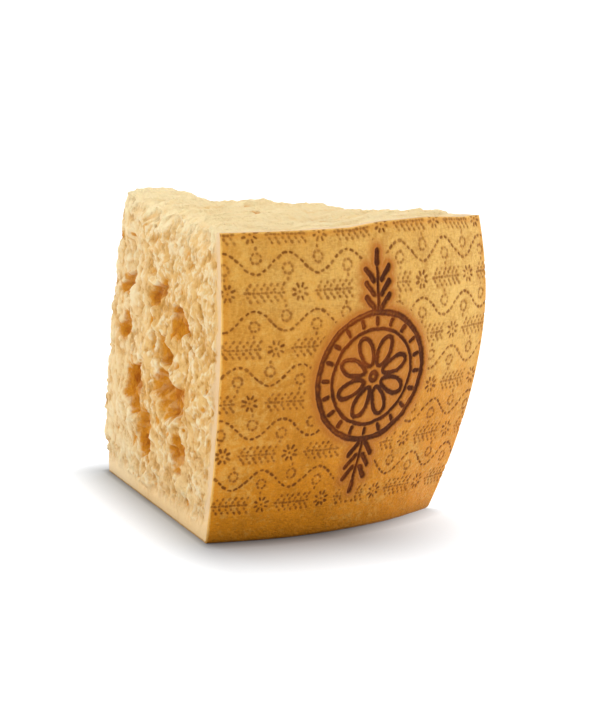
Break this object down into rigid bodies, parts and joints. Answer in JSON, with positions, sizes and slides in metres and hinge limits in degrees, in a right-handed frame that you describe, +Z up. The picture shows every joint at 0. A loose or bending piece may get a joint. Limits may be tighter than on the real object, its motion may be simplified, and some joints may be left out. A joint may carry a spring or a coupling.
{
  "type": "parmesan cheese wedge",
  "caption": "Block of hard aged cheese split from a large wheel: barrel-shaped rind in front, craggy torn sides and top, flat base to stand on.",
  "frame": {"origin": "on the flat base the block rests on, in the middle of the block's box", "axes": "+Z is up, the wheel's own axis; -Y looks out of the rind, halfway between the two split sides; +Y points to the blunt tip at the wheel's middle; +X is to the right when the rind is seen from in front"},
  "size_m": [0.151, 0.1992, 0.1474],
  "materials": {
    "aged_cheese": "dense crumbly cheese, pale straw with amber hollows where it is torn, behind a waxy ochre rind with a dashed ornament pressed in and a burnt rosette mark"
  },
  "bodies": {
    "root": {"cheese_wedge": "aged_cheese"}
  },
  "joints": []
}
